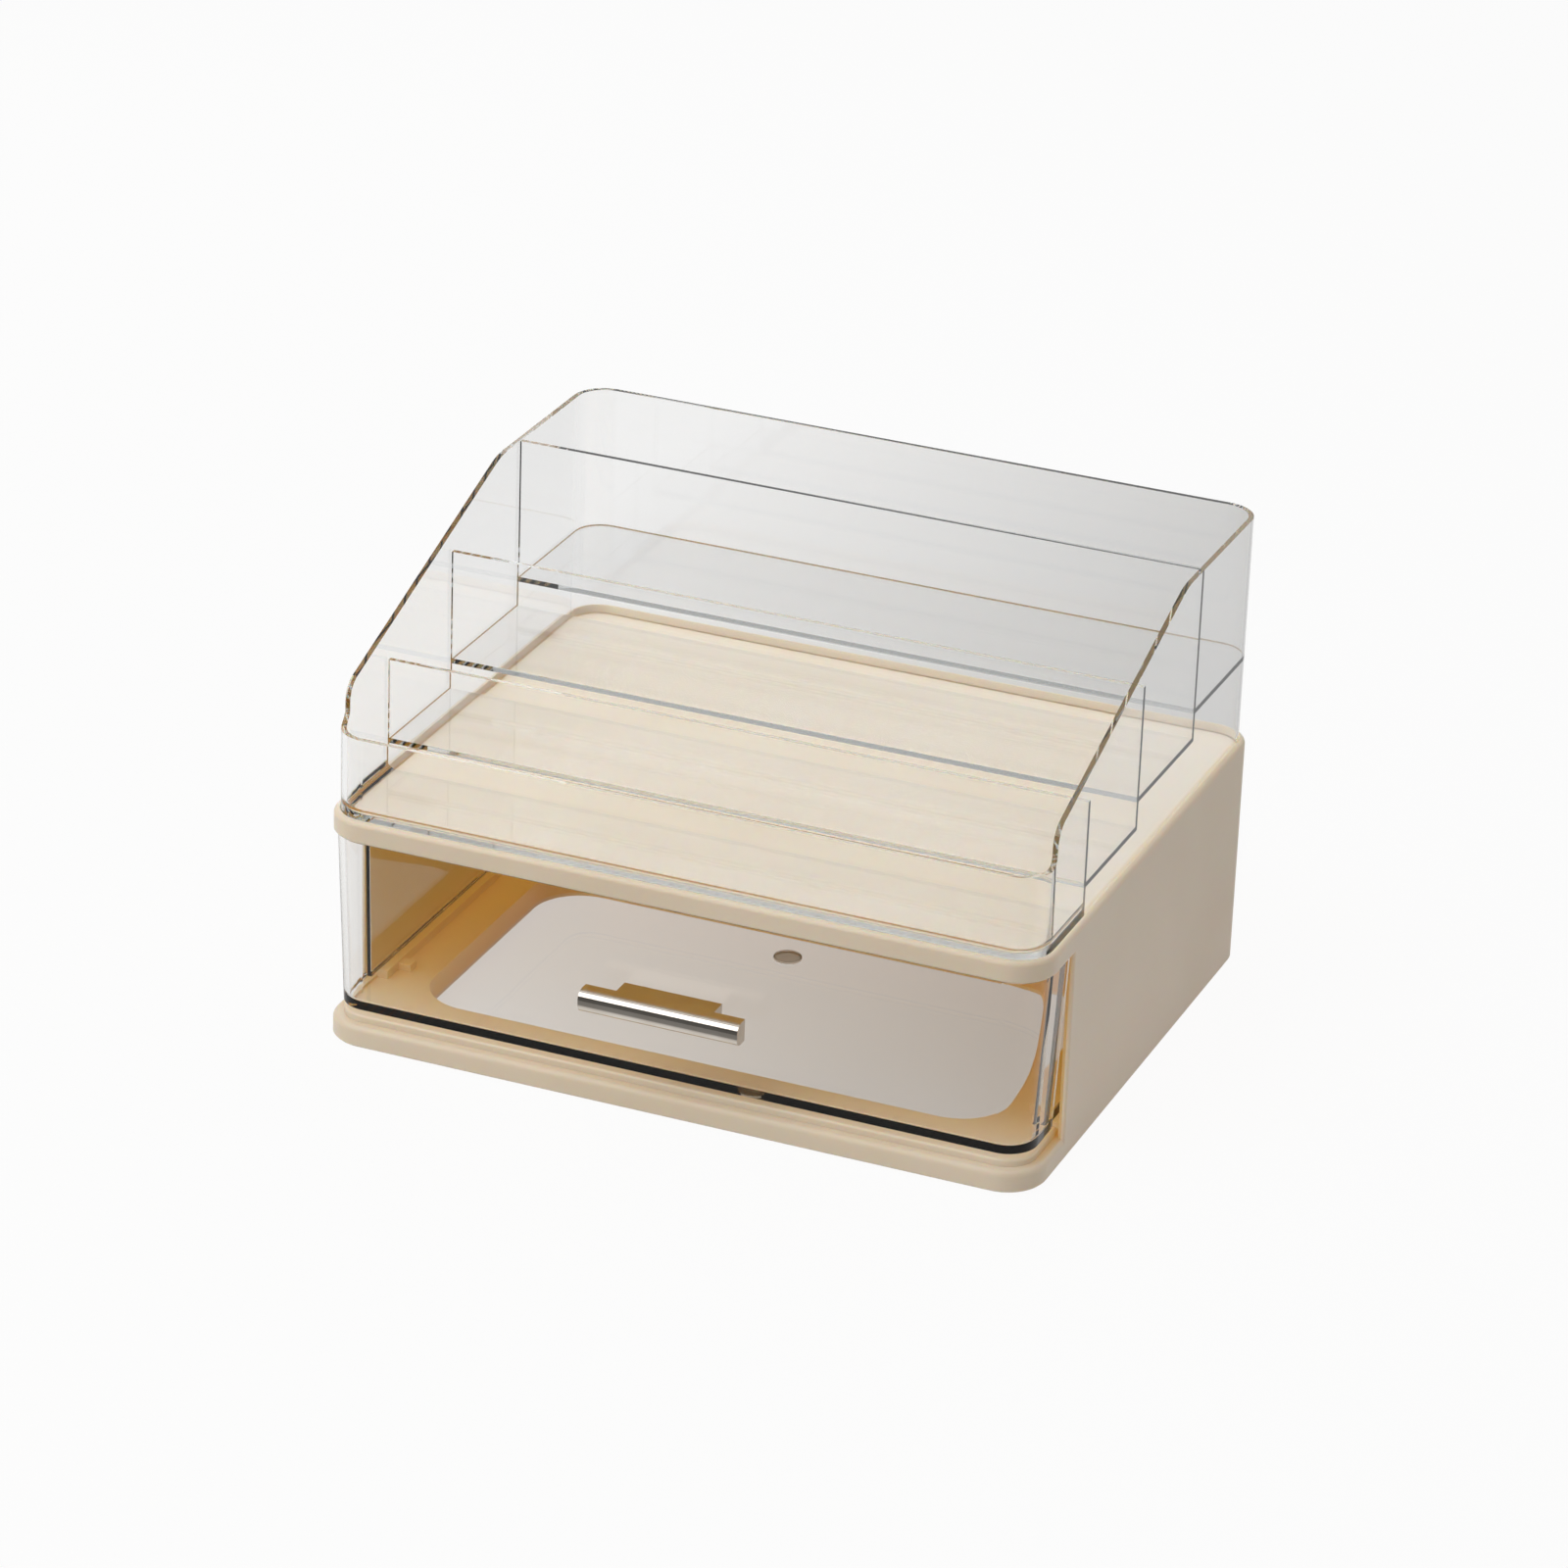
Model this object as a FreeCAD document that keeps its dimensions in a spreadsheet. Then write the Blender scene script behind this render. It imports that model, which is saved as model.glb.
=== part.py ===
import FreeCAD, Part
import math
import os
import re
import Sketcher

# Vanity organizer: a moulded cabinet with one clear drawer, under a clear stepped rack.
# Millimetres, +Z up, X to the right, the drawer opens towards -Y.
# The origin is on the table, under the middle of the whole depth, handle included.
# Every sub-part is drawn with Y = 0 at the cabinet's front and is then placed by its Placement.

SIZES = (
    # Cabinet outline
    ("cab_width", 280.0),
    ("cab_depth", 228.0),
    ("cab_height", 92.0),
    ("corner_radius", 15.5),
    ("shell_wall", 2.8),
    ("wall_setback", 33.0),
    ("wall_nose", 1.2),
    ("edge_round", 1.0),
    ("edge_chamfer", 0.8),
    # Base: a rounded lip, then a ridge set back on it, then the floor with its large cut-out
    ("foot_gap", 1.0),
    ("base_lip", 8.5),
    ("lip_round", 2.5),
    ("ridge_inset", 4.0),
    ("ridge_width", 2.5),
    ("ridge_rise", 1.3),
    ("floor_rise", 1.5),
    ("cut_side", 25.5),
    ("cut_front", 26.0),
    ("cut_rear", 74.0),
    ("cut_radius", 20.0),
    # Rails that carry the drawer, and the lugs that stop it
    ("rail_width", 8.0),
    ("rail_height", 3.4),
    ("rail_setback", 3.0),
    ("lug_width", 5.0),
    ("lug_length", 5.0),
    ("lug_height", 2.8),
    ("lug_setback", 45.0),
    # Roof: a rim round the seat that holds the rack
    ("roof_lip", 8.5),
    ("roof_round", 2.0),
    ("rim_width", 2.2),
    ("seat_depth", 3.0),
    # Anti-slip feet
    ("foot_radius", 6.0),
    ("foot_thickness", 2.0),
    ("foot_inset", 15.0),
    ("foot_clearance", 0.1),
    ("boss_wall", 1.6),
    # Drawer tray
    ("drawer_gap", 0.6),
    ("drawer_lift", 0.3),
    ("drawer_head", 0.5),
    ("drawer_back", 3.0),
    ("drawer_wall", 2.2),
    ("drawer_floor", 2.2),
    ("drawer_round", 1.5),
    ("draft_angle", 2.0),
    ("front_inset", 1.5),
    ("catch_length", 4.0),
    ("catch_drop", 1.6),
    ("catch_inset", 6.0),
    ("gate_radius", 5.5),
    ("gate_depth", 0.7),
    # Handle and its screws
    ("bar_length", 62.0),
    ("bar_height", 8.6),
    ("bar_depth", 7.0),
    ("bar_round", 3.4),
    ("bar_reach", 14.5),
    ("stem_length", 38.0),
    ("stem_height", 7.2),
    ("stem_gap", 0.03),
    ("screw_spacing", 25.6),
    ("handle_drop", 37.1),
    ("screw_radius", 1.5),
    ("screw_length", 8.0),
    ("screw_play", 0.2),
    ("screw_fit", 0.03),
    ("head_radius", 2.9),
    ("head_height", 1.9),
    # Stepped rack, heights above the seat
    ("rack_gap", 0.3),
    ("rack_wall", 2.0),
    ("rack_height", 93.0),
    ("rack_front", 34.5),
    ("first_floor", 3.8),
    ("floor_step", 11.2),
    ("front_bay", 42.5),
    ("second_bay", 51.0),
    ("third_bay", 57.0),
    ("low_divider", 46.8),
    ("mid_divider", 69.8),
    ("brow_setback", 13.3),
    ("brow_height", 48.2),
    ("slope_setback", 140.2),
    ("bend_radius", 30.0),
    ("brow_radius", 9.0),
    ("heel_radius", 5.0),
    ("bay_round", 4.0),
)
NAMES = {name for name, number in SIZES}

doc = FreeCAD.newDocument("vanity_organizer")
sheet = doc.addObject("Spreadsheet::Sheet", "sizes")
for row, (name, number) in enumerate(SIZES, start=1):
    sheet.set("A%d" % row, name)
    sheet.set("B%d" % row, str(number))
    sheet.setAlias("B%d" % row, name)
doc.recompute()

# Places worked out from the sizes, as expressions on the sheet
HALF = "(cab_width / 2)"
INNER_HALF = "(cab_width / 2 - shell_wall)"
INNER_RADIUS = "(corner_radius - shell_wall)"
LIP_TOP = "(foot_gap + base_lip)"
FLOOR = "(foot_gap + base_lip + floor_rise)"
ROOF_BOTTOM = "(cab_height - roof_lip)"
SEAT = "(cab_height - seat_depth)"
RAIL_TOP = "(foot_gap + base_lip + floor_rise + rail_height)"
RAIL_INNER = "(cab_width / 2 - shell_wall - rail_width)"
CUT_HALF = "(cab_width / 2 - cut_side)"
CUT_END = "(cab_depth - cut_rear)"
DRAWER_TOP = "(cab_height - roof_lip - drawer_head)"
DRAWER_BOTTOM = "(foot_gap + base_lip + floor_rise + rail_height + drawer_lift)"
DRAWER_HEIGHT = "(%s - %s)" % (DRAWER_TOP, DRAWER_BOTTOM)
DRAWER_REAR = "(cab_depth - shell_wall - drawer_back)"
HANDLE_FACE = "(front_inset + handle_drop * tan(draft_angle))"
HANDLE_HEIGHT = "(%s - handle_drop)" % DRAWER_TOP
STEM_END = "(bar_height / 2 * tan(draft_angle) + stem_gap)"
FRONT_Y = "(-(cab_depth - bar_reach + %s) / 2)" % HANDLE_FACE
RACK_INSET = "(rim_width + rack_gap)"
RACK_HALF = "(cab_width / 2 - %s)" % RACK_INSET
RACK_RADIUS = "(corner_radius - %s)" % RACK_INSET
RACK_REAR = "(cab_depth - %s)" % RACK_INSET


def on_sheet(text):
    """Returns the expression with each size name pointed at its cell of the sheet."""
    return re.sub(r"[a-z_]+", lambda word: "sizes." + word[0] if word[0] in NAMES else word[0], text)


def value(text):
    """Returns the number that an expression gives now."""
    return float(sheet.evalExpression(on_sheet(text)))


def bind(thing, prop, text):
    """Ties a property of a document object to an expression on the sheet."""
    thing.setExpression(prop, on_sheet(text))


def new_body(label, y="0", z="0", x="0"):
    """Starts a sub-part's body, with its place tied to the sheet."""
    body = doc.addObject("PartDesign::Body", label)
    body.Label = label
    for axis, text in zip("xyz", (x, y, z)):
        bind(body, "Placement.Base." + axis, text)
    return body


def new_sketch(body, plane="XY_Plane", offset="0"):
    """Starts a sketch on one of the body's own planes, moved along the plane's normal."""
    sketch = body.newObject("Sketcher::SketchObject", body.Label + "_sketch")
    origin = next(item for item in body.Origin.OriginFeatures if item.Role == plane)
    sketch.AttachmentSupport = [(origin, "")]
    sketch.MapMode = "FlatFace"
    bind(sketch, "AttachmentOffset.Base.z", offset)
    return sketch


def pin(sketch, kind, place, text):
    """Adds a dimension to a sketch and ties it to the sheet."""
    index = sketch.addConstraint(Sketcher.Constraint(kind, *place, value(text)))
    sketch.setExpression("Constraints[%d]" % index, on_sheet(text))


def outline(sketch, corners):
    """Draws a closed outline, anticlockwise; a corner is (x, y) or (x, y, radius), all expressions.

    Every side is level or upright, or it slants between two sharp corners.
    """
    count = len(corners)
    points = [FreeCAD.Vector(value(corner[0]), value(corner[1]), 0) for corner in corners]
    radii = [value(corner[2]) if len(corner) > 2 else 0 for corner in corners]
    sides = [points[(i + 1) % count] - points[i] for i in range(count)]
    for side in sides:
        side.normalize()
    first = sketch.GeometryCount
    for i in range(count):
        start = points[i] + sides[i] * radii[i]
        end = points[(i + 1) % count] - sides[i] * radii[(i + 1) % count]
        sketch.addGeometry(Part.LineSegment(start, end), False)
    for i in range(count):
        lines = (first + (i - 1) % count, first + i)
        draw_corner(sketch, lines, corners[i], points[i], radii[i], sides[i - 1], sides[i])
    for i in range(count):
        place_side(sketch, first + i, corners[i], corners[(i + 1) % count])


def draw_corner(sketch, lines, corner, point, radius, side_in, side_out):
    """Joins two sides of an outline, sharp or with a round tangent to both."""
    line_in, line_out = lines
    if radius == 0:
        sketch.addConstraint(Sketcher.Constraint("Coincident", line_in, 2, line_out, 1))
        return
    turn = side_in.cross(side_out).z
    centre = point + (side_out - side_in) * radius
    circle = Part.Circle(centre, FreeCAD.Vector(0, 0, 1), radius)
    heads = [point - side_in * radius - centre, point + side_out * radius - centre]
    angles = [math.atan2(head.y, head.x) for head in heads]
    ends = (1, 2) if turn > 0 else (2, 1)
    if turn < 0:
        angles.reverse()
    arc = sketch.addGeometry(Part.ArcOfCircle(circle, *angles), False)
    sketch.addConstraint(Sketcher.Constraint("Tangent", line_in, 2, arc, ends[0]))
    sketch.addConstraint(Sketcher.Constraint("Tangent", arc, ends[1], line_out, 1))
    pin(sketch, "Radius", (arc,), corner[2])


def place_side(sketch, line, corner, following):
    """Makes a side level or upright and dimensions it, or dimensions both ends of a slanted side."""
    if corner[0] == following[0]:
        sketch.addConstraint(Sketcher.Constraint("Vertical", line))
        pin(sketch, "DistanceX", (line, 1), corner[0])
    elif corner[1] == following[1]:
        sketch.addConstraint(Sketcher.Constraint("Horizontal", line))
        pin(sketch, "DistanceY", (line, 1), corner[1])
    else:
        pin(sketch, "DistanceY", (line, 1), corner[1])
        pin(sketch, "DistanceY", (line, 2), following[1])


def rectangle(sketch, left, right, front, rear, front_radius=None, rear_radius=None):
    """Draws an upright rectangle, with its two front or two rear corners rounded where a radius is given."""
    near = (front_radius,) if front_radius else ()
    far = (rear_radius,) if rear_radius else ()
    outline(sketch, ((left, front) + near, (right, front) + near, (right, rear) + far, (left, rear) + far))


def inset_plan(sketch, inset):
    """Draws the cabinet's plan outline, drawn in by an inset on all sides."""
    radius = "corner_radius - %s" % inset
    half = "%s - %s" % (HALF, inset)
    rectangle(sketch, "-(%s)" % half, half, inset, "cab_depth - %s" % inset, radius, radius)


def circles(sketch, places, radius):
    """Draws equal circles at the given places."""
    for x, y in places:
        centre = FreeCAD.Vector(value(x), value(y), 0)
        ring = sketch.addGeometry(Part.Circle(centre, FreeCAD.Vector(0, 0, 1), value(radius)), False)
        pin(sketch, "DistanceX", (ring, 3), x)
        pin(sketch, "DistanceY", (ring, 3), y)
        pin(sketch, "Radius", (ring,), radius)


def extrude(body, kind, sketch, length, back=False, taper=None, both_ways=False):
    """Adds a Pad or a Pocket, checks that it changes the solid the right way, and makes it the tip."""
    doc.recompute()
    before = body.Shape.Volume if body.Tip else 0
    feature = body.newObject("PartDesign::" + kind, body.Label + "_" + kind.lower())
    feature.Profile = sketch
    feature.Reversed = back
    if both_ways:
        feature.SideType = "Symmetric"
    bind(feature, "Length", length)
    if taper:
        bind(feature, "TaperAngle", taper)
    body.Tip = feature
    doc.recompute()
    grown = body.Shape.Volume - before
    if grown == 0 or (grown > 0) != (kind == "Pad"):
        raise RuntimeError("%s changed nothing or went the wrong way" % feature.Label)
    return feature


def dress(body, kind, size, wanted):
    """Rounds or bevels the edges of the tip that a test picks."""
    doc.recompute()
    base = body.Tip
    edges = ["Edge%d" % n for n, edge in enumerate(base.Shape.Edges, start=1) if wanted(edge.BoundBox)]
    feature = body.newObject("PartDesign::" + kind, body.Label + "_" + kind.lower())
    feature.Base = (base, edges)
    bind(feature, "Radius" if kind == "Fillet" else "Size", size)
    body.Tip = feature
    doc.recompute()


def level_with(text):
    """Returns a test for edges that lie flat at a height."""
    height = value(text)
    return lambda box: abs(box.ZMin - height) < 0.01 and abs(box.ZMax - height) < 0.01


def make_base():
    """The cabinet's base: lip, ridge, floor with its cut-out, hollow underside, foot bosses and lugs."""
    body = new_body("cabinet_base")
    plan = new_sketch(body, offset="foot_gap")
    inset_plan(plan, "0")
    extrude(body, "Pad", plan, "base_lip")
    dress(body, "Fillet", "lip_round", level_with(LIP_TOP))
    dress(body, "Chamfer", "edge_chamfer", level_with("foot_gap"))
    ridge = new_sketch(body, offset=LIP_TOP)
    inset_plan(ridge, "ridge_inset")
    extrude(body, "Pad", ridge, "floor_rise + ridge_rise")
    dress(body, "Fillet", "edge_round", level_with("%s + ridge_rise" % FLOOR))
    floor = new_sketch(body, offset="%s + ridge_rise" % FLOOR)
    inset_plan(floor, "(ridge_inset + ridge_width)")
    extrude(body, "Pocket", floor, "ridge_rise")
    hollow_underside(body)
    cut = new_sketch(body, offset=FLOOR)
    rectangle(cut, "-" + CUT_HALF, CUT_HALF, "cut_front", CUT_END, "cut_radius", "cut_radius")
    extrude(body, "Pocket", cut, "%s - foot_gap" % FLOOR)
    add_foot_bosses(body)
    lugs = new_sketch(body, offset=FLOOR)
    for left, right in lug_sides():
        rectangle(lugs, left, right, "lug_setback", "lug_setback + lug_length")
    extrude(body, "Pad", lugs, "lug_height")
    return body


def lug_sides():
    """Returns the left and right edge of each lug, and of the catch that meets it, beside the rails."""
    near = "(%s - lug_width)" % RAIL_INNER
    return (("-" + RAIL_INNER, "-" + near), (near, RAIL_INNER))


def hollow_underside(body):
    """Cores the base out from below in two steps, leaving a flange round the floor's cut-out."""
    flange_half = "(%s + shell_wall)" % CUT_HALF
    flange_radius = "(cut_radius + shell_wall)"
    steps = (("shell_wall", "base_lip - shell_wall"),
             ("(ridge_inset + shell_wall)", "base_lip + floor_rise - shell_wall"))
    for inset, height in steps:
        core = new_sketch(body, offset="foot_gap")
        inset_plan(core, inset)
        rectangle(core, "-" + flange_half, flange_half, "cut_front - shell_wall",
                  "%s + shell_wall" % CUT_END, flange_radius, flange_radius)
        extrude(body, "Pocket", core, height, back=True)


def foot_places():
    """Returns each foot's name and its centre in plan."""
    sides = (("left", "-(%s - foot_inset)" % HALF), ("right", "(%s - foot_inset)" % HALF))
    ends = (("front", "foot_inset"), ("rear", "(cab_depth - foot_inset)"))
    return [("foot_%s_%s" % (end, side), x, y) for end, y in ends for side, x in sides]


def add_foot_bosses(body):
    """Adds a solid boss over each foot, with the shallow seat that the foot is stuck into."""
    places = [(x, y) for name, x, y in foot_places()]
    bosses = new_sketch(body, offset="foot_gap")
    circles(bosses, places, "foot_radius + boss_wall")
    extrude(body, "Pad", bosses, "base_lip")
    seats = new_sketch(body, offset="foot_gap")
    circles(seats, places, "foot_radius + foot_clearance")
    extrude(body, "Pocket", seats, "foot_thickness - foot_gap", back=True)


def make_walls():
    """The cabinet's two side walls and back wall, in one bent wall, with a drawer rail at each foot."""
    body = new_body("cabinet_walls")
    bottom = "(foot_gap + base_lip / 2)"
    top = "(cab_height - roof_lip / 2)"
    plan = new_sketch(body, offset=bottom)
    back = "(cab_depth - shell_wall)"
    outline(plan, (
        (INNER_HALF, "wall_setback", "wall_nose"), (HALF, "wall_setback", "wall_nose"),
        (HALF, "cab_depth", "corner_radius"), ("-" + HALF, "cab_depth", "corner_radius"),
        ("-" + HALF, "wall_setback", "wall_nose"), ("-" + INNER_HALF, "wall_setback", "wall_nose"),
        ("-" + INNER_HALF, back, INNER_RADIUS), (INNER_HALF, back, INNER_RADIUS)))
    extrude(body, "Pad", plan, "%s - %s" % (top, bottom))
    rails = new_sketch(body, offset=LIP_TOP)
    middle = "(cab_width / 2 - shell_wall / 2)"
    for left, right in (("-" + middle, "-" + RAIL_INNER), (RAIL_INNER, middle)):
        rectangle(rails, left, right, "wall_setback + rail_setback", "cab_depth - corner_radius")
    extrude(body, "Pad", rails, "%s - %s" % (RAIL_TOP, LIP_TOP))
    return body


def make_roof():
    """The cabinet's roof: a rounded lip all round, the recessed seat on top and a hollow below."""
    body = new_body("cabinet_roof")
    plan = new_sketch(body, offset=ROOF_BOTTOM)
    inset_plan(plan, "0")
    extrude(body, "Pad", plan, "roof_lip")
    dress(body, "Fillet", "roof_round", level_with("cab_height"))
    dress(body, "Chamfer", "edge_chamfer", level_with(ROOF_BOTTOM))
    seat = new_sketch(body, offset="cab_height")
    inset_plan(seat, "rim_width")
    extrude(body, "Pocket", seat, "seat_depth")
    hollow = new_sketch(body, offset=ROOF_BOTTOM)
    inset_plan(hollow, "shell_wall")
    extrude(body, "Pocket", hollow, "roof_lip - seat_depth - shell_wall", back=True)
    return body


def make_cabinet():
    """The cabinet shell: base, walls and roof in one moulding."""
    cabinet = doc.addObject("Part::MultiFuse", "cabinet_shell")
    cabinet.Label = "cabinet_shell"
    cabinet.Shapes = [make_base(), make_walls(), make_roof()]
    cabinet.Refine = True
    bind(cabinet, "Placement.Base.y", FRONT_Y)
    return cabinet


def make_foot(name, x, y):
    """One anti-slip pad, stuck into its seat under the base."""
    body = new_body(name, x=x, y="%s + %s" % (FRONT_Y, y))
    disc = new_sketch(body)
    circles(disc, (("0", "0"),), "foot_radius")
    extrude(body, "Pad", disc, "foot_thickness")
    return body


def tray_stage(body, kind, inset, depth):
    """Adds or cuts the tray's two plan outlines: the wide front, and the body between the side walls."""
    wide = "(%s - front_inset - %s)" % (HALF, inset)
    front = "(front_inset + %s)" % inset
    front_end = "(wall_setback - drawer_gap - %s)" % inset
    radius = "(corner_radius - front_inset - %s)" % inset
    narrow = "(%s - drawer_gap - %s)" % (INNER_HALF, inset)
    inside_front = "(front_inset + corner_radius / 2 + %s)" % inset
    rear = "(%s - %s)" % (DRAWER_REAR, inset)
    rear_radius = "(%s - drawer_gap - %s)" % (INNER_RADIUS, inset)
    stages = (("-" + wide, wide, front, front_end, radius, None),
              ("-" + narrow, narrow, inside_front, rear, None, rear_radius))
    for left, right, near, far, near_radius, far_radius in stages:
        plan = new_sketch(body, offset=DRAWER_TOP)
        rectangle(plan, left, right, near, far, near_radius, far_radius)
        extrude(body, kind, plan, depth, back=(kind == "Pad"), taper="-draft_angle")


def make_tray():
    """The clear drawer tray: it narrows downwards, and its front reaches round to the cabinet's sides."""
    body = new_body("drawer_tray", y=FRONT_Y)
    tray_stage(body, "Pad", "0", DRAWER_HEIGHT)
    tray_stage(body, "Pocket", "drawer_wall", "%s - drawer_floor" % DRAWER_HEIGHT)
    dress(body, "Fillet", "drawer_round", level_with("%s + drawer_floor" % DRAWER_BOTTOM))
    holes = new_sketch(body, "XZ_Plane")
    circles(holes, [(x, HANDLE_HEIGHT) for x in screw_places()], "screw_radius + screw_play")
    extrude(body, "Pocket", holes, "%s + 2 * drawer_wall" % HANDLE_FACE)
    catches = new_sketch(body, offset=DRAWER_BOTTOM)
    rear = "(%s - catch_inset)" % DRAWER_REAR
    for left, right in lug_sides():
        rectangle(catches, left, right, "%s - catch_length" % rear, rear)
    extrude(body, "Pad", catches, "catch_drop", back=True)
    gate = new_sketch(body, offset=DRAWER_BOTTOM)
    circles(gate, (("0", "(front_inset + %s) / 2" % DRAWER_REAR),), "gate_radius")
    extrude(body, "Pocket", gate, "gate_depth", back=True)
    return body


def screw_places():
    """Returns the distance of each handle screw from the middle."""
    return ("-screw_spacing / 2", "screw_spacing / 2")


def make_handle():
    """The plated handle: a bar with a rounded front on one short stem, drawn from the drawer's face."""
    body = new_body("drawer_handle", y="%s + %s" % (FRONT_Y, HANDLE_FACE), z=HANDLE_HEIGHT)
    section = new_sketch(body, "YZ_Plane")
    front, back = "-bar_reach", "-(bar_reach - bar_depth)"
    top, bottom = "bar_height / 2", "-bar_height / 2"
    outline(section, ((front, bottom, "bar_round"), (back, bottom), (back, top), (front, top, "bar_round")))
    extrude(body, "Pad", section, "bar_length", both_ways=True)
    stem = new_sketch(body, "XZ_Plane", STEM_END)
    rectangle(stem, "-stem_length / 2", "stem_length / 2", "%s - stem_height" % top, top)
    extrude(body, "Pad", stem, "bar_reach - bar_depth / 2 - %s" % STEM_END)
    bores = new_sketch(body, "XZ_Plane", STEM_END)
    circles(bores, [(x, "0") for x in screw_places()], "screw_radius + screw_fit")
    extrude(body, "Pocket", bores, "screw_length - drawer_wall", back=True)
    return body


def make_screws():
    """The two screws that hold the handle, with their heads inside the drawer."""
    seat = "(drawer_wall + head_radius * tan(draft_angle) + stem_gap)"
    body = new_body("handle_screws", y="%s + %s + %s" % (FRONT_Y, HANDLE_FACE, seat), z=HANDLE_HEIGHT)
    shanks = new_sketch(body, "XZ_Plane")
    circles(shanks, [(x, "0") for x in screw_places()], "screw_radius")
    extrude(body, "Pad", shanks, "screw_length")
    heads = new_sketch(body, "XZ_Plane")
    circles(heads, [(x, "0") for x in screw_places()], "head_radius")
    extrude(body, "Pad", heads, "head_height", back=True)
    return body


def make_rack():
    """The clear stepped rack: four bays that rise to the rear, open below, with sloping side walls."""
    body = new_body("stepped_rack", y=FRONT_Y, z=SEAT)
    block = new_sketch(body)
    rectangle(block, "-" + RACK_HALF, RACK_HALF, RACK_INSET, RACK_REAR, RACK_RADIUS, RACK_RADIUS)
    extrude(body, "Pad", block, "rack_height")
    half = "(%s - rack_wall)" % RACK_HALF
    radius = "(%s - rack_wall)" % RACK_RADIUS
    rear = "(%s - rack_wall)" % RACK_REAR
    starts = ["(%s + rack_wall)" % RACK_INSET]
    for bay in ("front_bay", "second_bay", "third_bay"):
        starts.append("(%s + %s + rack_wall)" % (starts[-1], bay))
    ends = ["(%s - rack_wall)" % start for start in starts[1:]] + [rear]
    floors = ["(first_floor + %d * floor_step)" % step for step in range(len(starts))]
    for step, (start, end, floor) in enumerate(zip(starts, ends, floors)):
        bay = new_sketch(body, offset="rack_height")
        rectangle(bay, "-" + half, half, start, end, radius if step == 0 else None,
                  radius if step == len(starts) - 1 else None)
        extrude(body, "Pocket", bay, "rack_height - %s" % floor)
        under = new_sketch(body)
        rectangle(under, "-" + half, half, start, rear, radius if step == 0 else None, radius)
        extrude(body, "Pocket", under, "%s - rack_wall" % floor, back=True)
    for end, height in zip(ends, ("low_divider", "mid_divider")):
        top = new_sketch(body, offset="rack_height")
        rectangle(top, "-" + half, half, "%s - rack_wall" % end, "%s + 2 * rack_wall" % end)
        extrude(body, "Pocket", top, "rack_height - %s" % height)
    slope_sides(body)
    dress(body, "Fillet", "bay_round", front_of("first_floor", ends[0]))
    return body


def slope_sides(body):
    """Cuts the side walls to their outline: level at the rear, then a long slope, a drop and the low front."""
    above = "rack_height + rack_wall"
    brow = "(%s + brow_setback)" % RACK_INSET
    crest = "(%s + slope_setback)" % RACK_INSET
    profile = new_sketch(body, "YZ_Plane")
    outline(profile, (("0", "rack_front"), (brow, "rack_front"), (brow, "brow_height"),
                      (crest, "rack_height"), (crest, above), ("0", above)))
    extrude(body, "Pocket", profile, "cab_width", both_ways=True)
    bends = ((brow, "rack_front", "heel_radius"), (brow, "brow_height", "brow_radius"),
             (crest, "rack_height", "bend_radius"))
    for y, z, radius in bends:
        dress(body, "Fillet", radius, crossing(y, z))


def front_of(level, end):
    """Returns a test for edges at a level that lie before a place, or run up to it."""
    flat, limit = level_with(level), value(end)
    return lambda box: flat(box) and box.YMin < limit - 0.01


def crossing(y, z):
    """Returns a test for edges that run across, at a place in the side view."""
    place = (value(y), value(z))
    return lambda box: (box.YLength < 0.01 and box.ZLength < 0.01
                        and abs(box.YMin - place[0]) < 0.01 and abs(box.ZMin - place[1]) < 0.01)


parts = [make_cabinet(), make_tray(), make_handle(), make_screws(), make_rack()]
parts += [make_foot(name, x, y) for name, x, y in foot_places()]
doc.recompute()

for item in doc.Objects:
    if "Invalid" in item.State or "Error" in item.State:
        raise RuntimeError("%s failed: %s" % (item.Label, item.State))
for part in parts:
    if part.Shape.isNull() or not part.Shape.isValid():
        raise RuntimeError("%s has no valid solid" % part.Label)

os.makedirs("parts", exist_ok=True)
for part in parts:
    part.Shape.exportStep("parts/%s.step" % part.Label)
    box = part.Shape.BoundBox
    print("%-18s %d solid(s) %8.1f cm3  Y %7.2f to %7.2f  Z %6.2f to %6.2f" % (
        part.Label, len(part.Shape.Solids), part.Shape.Volume / 1000, box.YMin, box.YMax, box.ZMin, box.ZMax))
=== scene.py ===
"""Looks of a desktop vanity organizer: a cream cabinet, a clear drawer with a plated pull, and a clear rack."""

from __future__ import annotations

import logging
import math
from dataclasses import dataclass, field
from enum import Enum

import bpy
from mathutils import Matrix, Vector

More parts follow.
